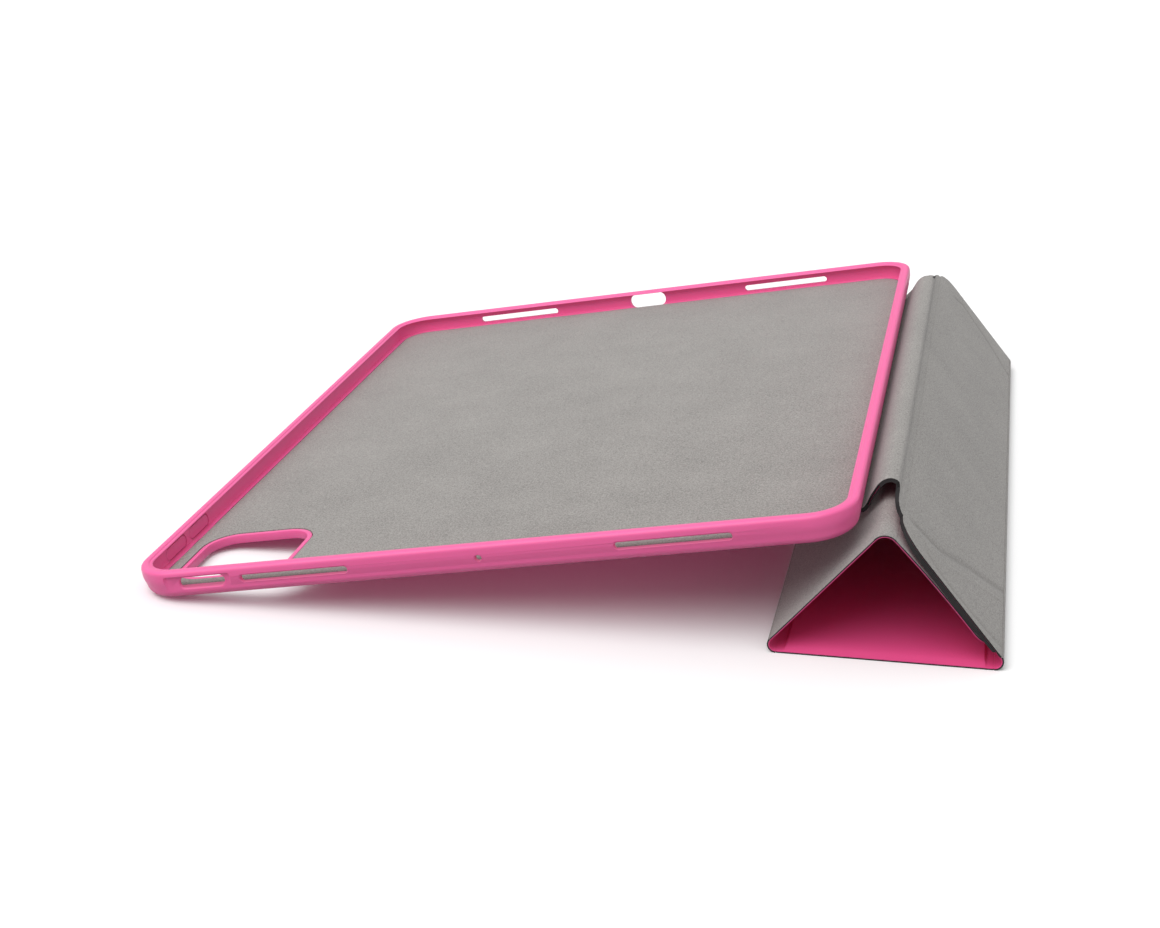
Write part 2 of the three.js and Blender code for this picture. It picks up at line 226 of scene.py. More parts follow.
bpy.ops.object.mode_set(mode="OBJECT")


def cut(piece, tool, operation="DIFFERENCE"):
    """Cuts a tool out of a piece, or joins it on, and removes the tool."""
    modifier = piece.modifiers.new(operation.lower(), "BOOLEAN")
    modifier.object = tool
    modifier.operation = operation
    modifier.solver = "EXACT"
    bpy.ops.object.select_all(action="DESELECT")
    bpy.context.view_layer.objects.active = piece
    bpy.ops.object.modifier_apply(modifier=modifier.name)
    bpy.data.objects.remove(tool)


def select_outer_faces(tool):
    """Selects the faces that look along +Y and leaves the tool in edit mode."""
    bpy.ops.object.mode_set(mode="EDIT")
    bpy.ops.mesh.select_mode(type="FACE")
    bpy.ops.mesh.select_all(action="DESELECT")
    bpy.ops.object.mode_set(mode="OBJECT")
    for face in tool.data.polygons:
        face.select = face.normal.y > 0.9
    bpy.ops.object.mode_set(mode="EDIT")


def pill(length, height, near, far, flare=0.0, steps=8):
    """A slot-shaped tool along +Y from near to far, its far end flared to break the slot's edge."""
    bpy.ops.mesh.primitive_cube_add(size=1, location=(0, (near + far) / 2 * MM, 0))
    tool = bpy.context.object
    tool.scale = (length * MM, (far - near) * MM, height * MM)
    bpy.ops.object.transform_apply(location=True, rotation=True, scale=True)
    bpy.ops.object.mode_set(mode="EDIT")
    bpy.ops.mesh.select_mode(type="EDGE")
    bpy.ops.mesh.select_all(action="DESELECT")
    bpy.ops.object.mode_set(mode="OBJECT")
    for edge in tool.data.edges:
        a, b = (tool.data.vertices[v].co for v in edge.vertices)
        edge.select = abs(a.y - b.y) > 1e-6
    bpy.ops.object.mode_set(mode="EDIT")
    bpy.ops.mesh.bevel(
        offset=min(length, height) * 0.495 * MM, segments=steps, affect="EDGES", clamp_overlap=False,
    )
    if flare:
        select_outer_faces(tool)
        bpy.ops.mesh.extrude_region_move(TRANSFORM_OT_translate={"value": (0, flare * MM, 0)})
        bpy.ops.transform.resize(
            value=((length + 2 * flare) / length, 1, (height + 2 * flare) / height),
            center_override=(0, (far + flare) * MM, 0),
        )
        bpy.ops.mesh.extrude_region_move(TRANSFORM_OT_translate={"value": (0, 4 * MM, 0)})
    bpy.ops.object.mode_set(mode="OBJECT")
    return tool


def at_wall(tool, place, quarter_turns):
    """Turns a tool that points along +Y about Z and moves it to its place on a wall."""
    turn = Matrix.Rotation(math.radians(90 * quarter_turns), 4, "Z")
    tool.data.transform(Matrix.Translation(Vector(place) * MM) @ turn)
    return tool


SLOT_HEIGHT = 4.9
SPEAKER_SLOT = (34, 2.4)
SPEAKER_OFFSET = 57.3
ROW_SHIFT = 0.9
MICROPHONE_HOLE = (2.1, 2.1)
PORT = (15, 6)
KEY_OFFSETS = (-110.4, -92.0)
KEY = (15, 3.6)
KEY_SLOT = (15.6, 4.2)
KEY_PAD = (41, 5.6)
KEY_PAD_OFFSET = -101.2
POWER_SLOT = (14.6, 3.5)
POWER_OFFSET = -86
SCOOP_OFFSET = -87.3
SCOOP_TAPER = 0.84

# The raised pad round the two volume keys.
pad = pill(*KEY_PAD, -1.5, 0.9, steps=10)
select_outer_faces(pad)
bpy.ops.mesh.extrude_region_move(TRANSFORM_OT_translate={"value": (0, 0.3 * MM, 0)})
bpy.ops.transform.resize(value=(0.985, 1, 0.88), center_override=(0, 1.2 * MM, 0))
bpy.ops.object.mode_set(mode="OBJECT")
cut(bumper, at_wall(pad, (-HALF_WIDTH, KEY_PAD_OFFSET, SLOT_HEIGHT), 1), "UNION")
for offset in KEY_OFFSETS:
    cut(bumper, at_wall(pill(*KEY_SLOT, -5, 3), (-HALF_WIDTH, offset, SLOT_HEIGHT), 1))

# Speaker slots and a microphone hole in both short walls, the port at the far end.
for side in (-1, 1):
    offset = ROW_SHIFT + side * SPEAKER_OFFSET
    for turns, wall in ((2, -HALF_LENGTH), (0, HALF_LENGTH)):
        cut(bumper, at_wall(pill(*SPEAKER_SLOT, -6, -0.45, 0.5), (offset, wall, SLOT_HEIGHT), turns))
cut(bumper, at_wall(pill(*MICROPHONE_HOLE, -6, -0.3, 0.35), (ROW_SHIFT, -HALF_LENGTH, SLOT_HEIGHT), 2))
cut(bumper, at_wall(pill(*PORT, -6.5, -0.4, 0.45), (0, HALF_LENGTH, SLOT_HEIGHT), 0))

# The scoop round the power slot: curved on the corner's side, slanted on the other.
bpy.ops.mesh.primitive_cube_add(size=1, location=(SCOOP_OFFSET * MM, (-HALF_LENGTH - 1.6) * MM, 2.6 * MM))
scoop = bpy.context.object
scoop.scale = (25 * MM, 5 * MM, 9.6 * MM)
bpy.ops.object.transform_apply(location=True, rotation=True, scale=True)
for vertex in scoop.data.vertices:
    if vertex.co.y > -HALF_LENGTH * MM:
        vertex.co.x = SCOOP_OFFSET * MM + (vertex.co.x - SCOOP_OFFSET * MM) * SCOOP_TAPER
bpy.ops.object.mode_set(mode="EDIT")
bpy.ops.mesh.select_all(action="SELECT")
bpy.ops.mesh.bevel(offset=0.8 * MM, segments=5, affect="EDGES")
bpy.ops.object.mode_set(mode="OBJECT")
cut(bumper, scoop)
cut(bumper, at_wall(pill(*POWER_SLOT, -6, -1.2, 0.4), (POWER_OFFSET, -HALF_LENGTH, SLOT_HEIGHT), 2))


def soften(piece, angle=35):
    """Smooth shading that keeps edges sharper than the angle."""
    bpy.ops.object.select_all(action="DESELECT")
    piece.select_set(True)
    bpy.context.view_layer.objects.active = piece
    bpy.ops.object.shade_smooth_by_angle(angle=math.radians(angle))
    bpy.ops.object.select_all(action="DESELECT")


# Thermoplastic polyurethane, moulded in a spark-eroded tool: a soft satin with a very fine grain.
# The real grain is about 0.05 mm; it is drawn at 0.25 mm so that it shows.
tpu, tpu_shader = new_material(
    "pink_tpu_moulded", Roughness=0.42, IOR=1.5, Subsurface_Weight=0.12, Subsurface_Scale=0.002,
    Specular_IOR_Level=0.45,
)
tpu_shader.inputs["Subsurface Radius"].default_value = (1.0, 0.35, 0.5)
tpu_place = add_node(tpu, "ShaderNodeTexCoord")
tpu_cloud = add_node(
    tpu, "ShaderNodeTexNoise", {"Scale": 22, "Detail": 3}, {"Vector": tpu_place.outputs["Object"]}
)
tpu_tone = add_node(tpu, "ShaderNodeMix", data_type="RGBA", links={"Factor": tpu_cloud.outputs["Fac"]})
tpu_tone.inputs["A"].default_value = linear("#f064a1")
tpu_tone.inputs["B"].default_value = linear("#f469a5")
tpu.node_tree.links.new(tpu_tone.outputs["Result"], tpu_shader.inputs["Base Color"])
tpu_grain = add_node(
    tpu, "ShaderNodeTexNoise", {"Scale": 4000, "Detail": 2}, {"Vector": tpu_place.outputs["Object"]}
)
tpu_bump = add_node(
    tpu, "ShaderNodeBump", {"Strength": 0.08, "Distance": 0.0001}, {"Height": tpu_grain.outputs["Fac"]}
)
tpu.node_tree.links.new(tpu_bump.outputs["Normal"], tpu_shader.inputs["Normal"])


def finish_piece(piece, body, slot, nodes, *materials):
    """Gives a piece its materials, its body and the CAD nodes it stands for. The finish slot is not used."""
    piece.data.materials.clear()
    for material in materials:
        piece.data.materials.append(material)
    if body:
        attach(piece, body)
    if nodes:
        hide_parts(*nodes)


stand_tray(bumper)
soften(bumper)
finish_piece(bumper, "shell", "tpu_frame", ["tray_frame"], tpu)

# ---------------------------------------------------------------------------
# Layers of the back: a hard clear plate snapped into the frame, a microfibre
# liner glued on it inside, and a thin synthetic leather skin outside.
# ---------------------------------------------------------------------------
WINDOW_PLACE = (-82.6, -115.6)
WINDOW_SIZE = (37.6, 37.6)
WINDOW_CORNER = 10.5


def ease_edges(piece, width, angle):
    """Rounds the edges of the active piece that are sharper than the angle."""
    ease = piece.modifiers.new("ease", "BEVEL")
    ease.width = width * MM
    ease.segments = 2
    ease.limit_method = "ANGLE"
    ease.angle_limit = math.radians(angle)
    bpy.ops.object.modifier_apply(modifier="ease")


def rounded_slab(name, size, corner, low, high, edge, place=(0, 0)):
    """A flat plate with round corners: a plane with bevelled corners, extruded up, edges eased."""
    bpy.ops.mesh.primitive_plane_add(size=1, location=(place[0] * MM, place[1] * MM, low * MM))
    slab = named(name)
    slab.scale = (size[0] * MM, size[1] * MM, 1)
    bpy.ops.object.transform_apply(location=True, rotation=True, scale=True)
    bpy.ops.object.mode_set(mode="EDIT")
    bpy.ops.mesh.select_all(action="SELECT")
    bpy.ops.mesh.bevel(offset=corner * MM, segments=CORNER_STEPS, affect="VERTICES", clamp_overlap=False)
    bpy.ops.mesh.select_all(action="SELECT")
    bpy.ops.mesh.extrude_region_move(TRANSFORM_OT_translate={"value": (0, 0, (high - low) * MM)})
    bpy.ops.mesh.select_all(action="SELECT")
    bpy.ops.mesh.normals_make_consistent(inside=False)
    bpy.ops.object.mode_set(mode="OBJECT")
    if edge:
        ease_edges(slab, edge, 60)
    return slab


# Microfibre, needled and brushed: a dense grey nap that lies in slightly different directions,
# which gives soft light and dark grains. Fibres are 0.02 mm; the grains are drawn at 0.5 mm.
nap, nap_shader = new_material(
    "grey_microfibre_brushed", Roughness=0.95, Sheen_Weight=0.25, Specular_IOR_Level=0.15
)
nap_place = add_node(nap, "ShaderNodeTexCoord")
nap_grain = add_node(
    nap, "ShaderNodeTexNoise", {"Scale": 1900, "Detail": 3, "Roughness": 0.75},
    {"Vector": nap_place.outputs["Object"]},
)
nap_cloud = add_node(
    nap, "ShaderNodeTexNoise", {"Scale": 45, "Detail": 2}, {"Vector": nap_place.outputs["Object"]}
)
nap_shade = add_node(nap, "ShaderNodeMath", {1: 0.12}, {0: nap_cloud.outputs["Fac"]}, operation="MULTIPLY")
nap_sum = add_node(
    nap, "ShaderNodeMath", links={0: nap_grain.outputs["Fac"], 1: nap_shade.outputs[0]}, operation="ADD"
)
nap_ramp = add_node(nap, "ShaderNodeValToRGB", links={"Fac": nap_sum.outputs[0]})
nap_ramp.color_ramp.elements[0].position = 0.38
nap_ramp.color_ramp.elements[0].color = linear("#716e6b")
nap_ramp.color_ramp.elements[1].position = 0.74
nap_ramp.color_ramp.elements[1].color = linear("#a8a4a0")
# Along the pressed fold lines the lining colour is darkened: painted shade in the grooves.
nap_groove_shade = add_node(nap, "ShaderNodeAttribute", attribute_name="pressed_line_shade")
nap_painted_shade = add_node(
    nap, "ShaderNodeMix", data_type="RGBA",
    links={"Factor": nap_groove_shade.outputs["Fac"], "A": nap_ramp.outputs["Color"]},
)
nap_painted_shade.inputs["B"].default_value = linear("#6f6c69")
nap.node_tree.links.new(nap_painted_shade.outputs["Result"], nap_shader.inputs["Base Color"])
nap_bump = add_node(
    nap, "ShaderNodeBump", {"Strength": 0.35, "Distance": 0.00025}, {"Height": nap_grain.outputs["Fac"]}
)
nap.node_tree.links.new(nap_bump.outputs["Normal"], nap_shader.inputs["Normal"])

# Polyurethane-coated leathercloth, embossed by a roller: a close pebble grain about 0.6 mm across.
skin, skin_shader = new_material("pink_leathercloth_embossed", Roughness=0.55, Specular_IOR_Level=0.4)
skin_place = add_node(skin, "ShaderNodeTexCoord")
skin_cells = add_node(skin, "ShaderNodeTexVoronoi", {"Scale": 1600}, {"Vector": skin_place.outputs["Object"]})
skin_cloud = add_node(
    skin, "ShaderNodeTexNoise", {"Scale": 30, "Detail": 3}, {"Vector": skin_place.outputs["Object"]}
)
skin_tone = add_node(skin, "ShaderNodeMix", data_type="RGBA", links={"Factor": skin_cloud.outputs["Fac"]})
skin_tone.inputs["A"].default_value = linear("#dd4a85")
skin_tone.inputs["B"].default_value = linear("#e3528c")
skin.node_tree.links.new(skin_tone.outputs["Result"], skin_shader.inputs["Base Color"])
skin_bump = add_node(
    skin, "ShaderNodeBump", {"Strength": 0.25, "Distance": 0.0001}, {"Height": skin_cells.outputs["Distance"]}
)
skin.node_tree.links.new(skin_bump.outputs["Normal"], skin_shader.inputs["Normal"])

# Polycarbonate plate, moulded: hard, pale and slightly milky, with faint flow marks.
plate, plate_shader = new_material("milky_polycarbonate", Roughness=0.35, IOR=1.58)
plate_place = add_node(plate, "ShaderNodeTexCoord")
plate_flow = add_node(
    plate, "ShaderNodeTexNoise", {"Scale": 18, "Detail": 4}, {"Vector": plate_place.outputs["Object"]}
)
plate_tone = add_node(plate, "ShaderNodeMix", data_type="RGBA", links={"Factor": plate_flow.outputs["Fac"]})
plate_tone.inputs["A"].default_value = linear("#d2d2cc")
plate_tone.inputs["B"].default_value = linear("#deded9")
plate.node_tree.links.new(plate_tone.outputs["Result"], plate_shader.inputs["Base Color"])

BACK_LAYERS = [
    ("liner_microfibre", (210.4, 276.6), 9.7, 2.45, 3.0, 0.12, "back_liner", "grey_lining", nap),
    ("back_shell_plate", (210.4, 276.6), 9.7, 1.25, 2.35, 0.2, "back_plate", "back_shell", plate),
    ("back_leathercloth", (205.4, 271.6), 7.7, 0.15, 0.95, 0.15, "back_skin", "pink_skin", skin),
]
for name, size, corner, low, high, edge, node, slot, material in BACK_LAYERS:
    layer = rounded_slab(name, size, corner, low, high, edge)
    cut(layer, rounded_slab("window_tool", WINDOW_SIZE, WINDOW_CORNER, -2, 12, 0, WINDOW_PLACE))
    stand_tray(layer)
    soften(layer)
    finish_piece(layer, "shell", slot, [node], material)

# ---------------------------------------------------------------------------
# Rim of the camera window: a moulded TPU collar that hides the cut layers and
# stands round the camera.
# ---------------------------------------------------------------------------
rim = rounded_slab("camera_window_rim", (37, 37), 10.2, 0.15, 2.95, 0.35, WINDOW_PLACE)
cut(rim, rounded_slab("rim_tool", (33.8, 33.8), 8.6, -2, 12, 0, WINDOW_PLACE))
ease_edges(rim, 0.3, 70)
stand_tray(rim)
soften(rim)
finish_piece(rim, "shell", "tpu_frame", ["camera_rim"], tpu)

# ---------------------------------------------------------------------------
# Volume keys: two pills of the same TPU that press the tablet's own keys. They
# stand a little proud of the pad, with a shallow finger dish.
# ---------------------------------------------------------------------------
for name, body, node, offset in (
    ("volume_up_pill", "volume_up", "volume_up_key", KEY_OFFSETS[0]),
    ("volume_down_pill", "volume_down", "volume_down_key", KEY_OFFSETS[1]),
):
    key = pill(*KEY, -1.9, 1.55, steps=10)
    key.name = name
    select_outer_faces(key)
    for rise, long, tall in ((0.17, 0.985, 0.94), (0.08, 0.96, 0.84), (-0.02, 0.93, 0.7), (-0.1, 0.9, 0.6)):
        bpy.ops.mesh.extrude_region_move(TRANSFORM_OT_translate={"value": (0, rise * MM, 0)})
        bpy.ops.transform.resize(value=(long, 1, tall), center_override=(0, 0, 0))
    bpy.ops.object.mode_set(mode="OBJECT")
    at_wall(key, (-HALF_WIDTH, offset, SLOT_HEIGHT), 1)
    stand_tray(key)
    soften(key, 50)
    finish_piece(key, body, "tpu_frame", [node], tpu)

# ---------------------------------------------------------------------------
# Cover sheet: leathercloth outside, microfibre inside, laminated on boards,
# with its cut edges painted black. Folded here into a prism, lining outwards.
# ---------------------------------------------------------------------------
SHIFT = 125.20435
LINING_FACE = 0.8
LAMINATE = 0.37
THIN_SKIN_FACE = 0.2
SKIN_FACE = -0.8
SKIN_BACK = -0.42
PANEL_HALF_LENGTH = 142


def section_point(x, z):
    """A point of the cover's section, in millimetres across the stand and up."""
    return Vector((x - SHIFT, z))


CREASE = section_point(224.5, 40.7)
FRONT = section_point(256.75, 0.8)
REAR = section_point(188.6, 0.8)
APEX = section_point(221.69, 38.89)
FREE_EDGE = section_point(248.9, 7.4)


FOLD_STEPS = 12


def fold(before, corner, after, radius):
    """The points of a round fold at a corner, from its first tangent point to its last."""
    one = (before - corner).normalized()
    two = (after - corner).normalized()
    half = math.acos(max(-1, min(1, one.dot(two)))) / 2
    reach = radius / math.tan(half)
    centre = corner + (one + two).normalized() * radius / math.sin(half)
    first = corner + one * reach - centre
    last = corner + two * reach - centre
    sweep = math.atan2(first.x * last.y - first.y * last.x, first.dot(last))
    points = []
    for step in range(FOLD_STEPS + 1):
        turn = Matrix.Rotation(sweep * step / FOLD_STEPS, 2)
        points.append(centre + turn @ first)
    return points


def strip_outline(curve, low, high, first=0, last=None):
    """The closed outline of a sheet along part of a curve. Offsets are to the left of travel,
    and the whole curve gives the directions, so that neighbouring strips meet."""
    last = len(curve) - 1 if last is None else last
    lower, upper = [], []
    for at in range(first, last + 1):
        along = (curve[min(at + 1, len(curve) - 1)] - curve[max(at - 1, 0)]).normalized()
        left = Vector((-along.y, along.x))
        lower.append(curve[at] + left * low)
        upper.append(curve[at] + left * high)
    return lower + upper[::-1]


def extruded(name, outline, half_lengths):
    """A closed section pulled along the hinge, each of its points to its own half length."""
    bpy.ops.mesh.primitive_circle_add(vertices=len(outline), radius=1, fill_type="NGON")
    piece = named(name)
    for vertex, point, half_length in zip(piece.data.vertices, outline, half_lengths):
        vertex.co = (point.x * MM, -half_length * MM, point.y * MM)
    bpy.ops.object.mode_set(mode="EDIT")
    bpy.ops.mesh.select_all(action="SELECT")
    bpy.ops.mesh.extrude_region_move(TRANSFORM_OT_translate={"value": (0, 1, 0)})
    bpy.ops.object.mode_set(mode="OBJECT")
    for vertex in piece.data.vertices:
        if vertex.co.y > 0:
            vertex.co.y = 1 - vertex.co.y
    bpy.ops.object.mode_set(mode="EDIT")
    bpy.ops.mesh.select_all(action="SELECT")
    bpy.ops.mesh.normals_make_consistent(inside=False)
    bpy.ops.object.mode_set(mode="OBJECT")
    return piece


# Edge paint, brushed on in coats and dried: near black, slightly uneven, a low sheen.
paint, paint_shader = new_material("black_edge_paint", Roughness=0.6, Specular_IOR_Level=0.3)
paint_place = add_node(paint, "ShaderNodeTexCoord")
paint_coat = add_node(
    paint, "ShaderNodeTexNoise", {"Scale": 900, "Detail": 3}, {"Vector": paint_place.outputs["Object"]}
)
paint_tone = add_node(paint, "ShaderNodeMix", data_type="RGBA", links={"Factor": paint_coat.outputs["Fac"]})
paint_tone.inputs["A"].default_value = linear("#141213")
paint_tone.inputs["B"].default_value = linear("#262324")
paint.node_tree.links.new(paint_tone.outputs["Result"], paint_shader.inputs["Base Color"])


def paint_rims(piece, rims):
    """Gives the faces at a sheet's cut edges the edge paint, the piece's second material."""
    for face, rim_face in zip(piece.data.polygons, rims):
        face.material_index = 1 if rim_face else 0


# Fibreboard and nickel plate, both sealed inside the panels.
board, board_shader = new_material("grey_fibreboard_pressed", Roughness=0.85)
board_place = add_node(board, "ShaderNodeTexCoord")
board_fibre = add_node(
    board, "ShaderNodeTexNoise", {"Scale": 500, "Detail": 5}, {"Vector": board_place.outputs["Object"]}
)
board_tone = add_node(board, "ShaderNodeMix", data_type="RGBA", links={"Factor": board_fibre.outputs["Fac"]})
board_tone.inputs["A"].default_value = linear("#343436")
board_tone.inputs["B"].default_value = linear("#4a4a4c")
board.node_tree.links.new(board_tone.outputs["Result"], board_shader.inputs["Base Color"])
nickel, nickel_shader = new_material("nickel_plated_magnet", Metallic=1.0, Roughness=0.28)
nickel_place = add_node(nickel, "ShaderNodeTexCoord")
nickel_haze = add_node(
    nickel, "ShaderNodeTexNoise", {"Scale": 700, "Detail": 2}, {"Vector": nickel_place.outputs["Object"]}
)
nickel_tone = add_node(
    nickel, "ShaderNodeMix", data_type="RGBA", links={"Factor": nickel_haze.outputs["Fac"]}
)
nickel_tone.inputs["A"].default_value = linear("#b5b1a8")
nickel_tone.inputs["B"].default_value = linear("#c6c2ba")
nickel.node_tree.links.new(nickel_tone.outputs["Result"], nickel_shader.inputs["Base Color"])
for node_name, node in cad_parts.items():
    if node_name.endswith("_board") or node_name == "spine_stiffener":
        node.data.materials.clear()
        node.data.materials.append(board)
    if "magnet" in node_name:
        node.data.materials.clear()
        node.data.materials.append(nickel)

# ---------------------------------------------------------------------------
# Panels 1 to 4. Each is a lining over a skin. The board between them ends 3 mm
# short of the border, where the skin steps up to the lining. Panel 1 carries
# the pressed fold lines of the cover's other stand.
# ---------------------------------------------------------------------------
STEP_START = 2.1
STEP_END = 2.8
BORDER_STATIONS = (0.0, 0.4, 0.9, 1.4, 1.7, 1.95, 2.2, 2.45, 2.7, 2.9, 3.4)
CLOSEST_STATIONS = 0.12
END_REACH = 40


def eased(value):
    """0 to 1 with a soft start and a soft end."""
    value = max(0.0, min(1.0, value))
    return value * value * (3 - 2 * value)


def end_setback(u, width, start_radius, end_radius):
    """How far a panel's end lies back at u, because of its round corners."""
    back = 0.0
    if u < start_radius:
        back = start_radius - math.sqrt(max(0.0, start_radius ** 2 - (start_radius - u) ** 2))
    if u > width - end_radius:
        back = max(back, end_radius - math.sqrt(max(0.0, end_radius ** 2 - (u - width + end_radius) ** 2)))
    return back


def thinned(places, last):
    """The places in order, without any that is too close to the one before, up to the last."""
    kept = []
    for place in sorted(places):
        if not kept or place - kept[-1] > CLOSEST_STATIONS:
            kept.append(place)
    kept[-1] = last
    return kept


def stations_across(width, start_radius, end_radius, step):
    """Places across a panel: close together at its borders and round its corners."""
    places = set(BORDER_STATIONS) | {width - place for place in BORDER_STATIONS}
    for at in range(1, 13):
        ease = 1 - math.cos(math.radians(90 * at / 12))
        places |= {start_radius * ease, width - end_radius * ease}
    count = math.ceil(width / step)
    places |= {width * at / count for at in range(count + 1)}
    return thinned(places, width)


def stations_along(fine):
    """Places along a panel: close together at both ends, over the given lengths in fine steps."""
    half = PANEL_HALF_LENGTH
    places = {-half + place for place in BORDER_STATIONS} | {half - place for place in BORDER_STATIONS}
    near, far, step = fine
    places |= {-half + step * at for at in range(int(near / step) + 1)}
    places |= {half - step * at for at in range(int(far / step) + 1)}
    middle = 2 * half - near - far
    places |= {-half + near + middle * at / 24 for at in range(25)}
    return thinned(places, half)


def panel_layer(name, shape, low, high, step=6.0, fine=(12, 12, 3)):
    """One layer of a panel, made flat: a grid whose two faces follow low and high, which
    are heights at u across, y along and at a distance from the border."""
    width, start_radius, end_radius = shape
    across = stations_across(width, start_radius, end_radius, step)
    along = stations_along(fine)
    bpy.ops.mesh.primitive_grid_add(x_subdivisions=len(across) - 1, y_subdivisions=len(along) - 1, size=2)
    piece = named(name)

    def place_of(column, row):
        u = across[column]
        back = end_setback(u, width, start_radius, end_radius)
        d = along[row]
        reach = abs(d) - (PANEL_HALF_LENGTH - END_REACH)
        y = d - math.copysign(back * max(0.0, reach) / END_REACH, d)
        inset = min(u, width - u, PANEL_HALF_LENGTH - back - abs(y))
        return u, y, max(0.0, inset)

    places = []
    for vertex in piece.data.vertices:
        column = round((vertex.co.x + 1) / 2 * (len(across) - 1))
        row = round((vertex.co.y + 1) / 2 * (len(along) - 1))
        places.append(place_of(column, row))
    for vertex, (u, y, inset) in zip(piece.data.vertices, places):
        vertex.co = (u * MM, y * MM, 0)
    flat = {(round(u, 4), round(y, 4)): (u, y, inset) for u, y, inset in places}
    bpy.ops.object.mode_set(mode="EDIT")
    bpy.ops.mesh.select_all(action="SELECT")
    bpy.ops.mesh.extrude_region_move(TRANSFORM_OT_translate={"value": (0, 0, 1)})
    bpy.ops.object.mode_set(mode="OBJECT")
    for vertex in piece.data.vertices:
        near = (round(vertex.co.x / MM, 4), round(vertex.co.y / MM, 4))
        u, y, inset = flat.get(near) or min(places, key=lambda p: abs(p[0] - near[0]) + abs(p[1] - near[1]))
        face = high if vertex.co.z > 0.5 else low
        vertex.co.z = face(u, y, inset) * MM
    bpy.ops.object.mode_set(mode="EDIT")
    bpy.ops.mesh.select_all(action="SELECT")
    bpy.ops.mesh.normals_make_consistent(inside=False)
    bpy.ops.object.mode_set(mode="OBJECT")
    return piece


def lay_panel(piece, start, end):
    """Turns a piece made flat so that its X runs from one fold to the next."""
    angle = math.atan2(end.y - start.y, end.x - start.x)
    place = Matrix.Translation((start.x * MM, 0, start.y * MM)) @ Matrix.Rotation(-angle, 4, "Y")
    piece.data.transform(place)
    piece.data.update()


# The pressed lines of panel 1: where each runs, as u and y along it, how deep and how wide it is.
PRESSED_LINES = [
    ([(4.5, -128.5), (16.5, -124.5), (29.5, -111.5), (38.5, -104), (52.5, -91)], -0.26, 1.5),
    ([(11, -136), (15.5, -134.5), (25.5, -123), (39, -110.7), (46, -104.7), (52.5, -104)], 0.14, 0.45),
    ([(11, -136), (16, -138.5), (24, -139.3), (41, -137.4), (51, -134.8)], -0.20, 0.9),
    ([(10, 128), (14.5, 132.3), (33, 126.3), (45, 118.3), (52, 116.7)], -0.25, 1.0),
]


def pressed(u, y):
    """The height of the pressed lines at a place on panel 1."""
    height = 0.0
    for line, depth, breadth in PRESSED_LINES:
        nearest = 1e9
        for (ua, ya), (ub, yb) in zip(line, line[1:]):
            span = (ub - ua) ** 2 + (yb - ya) ** 2
            t = max(0.0, min(1.0, ((u - ua) * (ub - ua) + (y - ya) * (yb - ya)) / span))
            nearest = min(nearest, math.hypot(u - ua - t * (ub - ua), y - ya - t * (yb - ya)))
        height += depth * math.exp(-(nearest / breadth) ** 2)
    return height


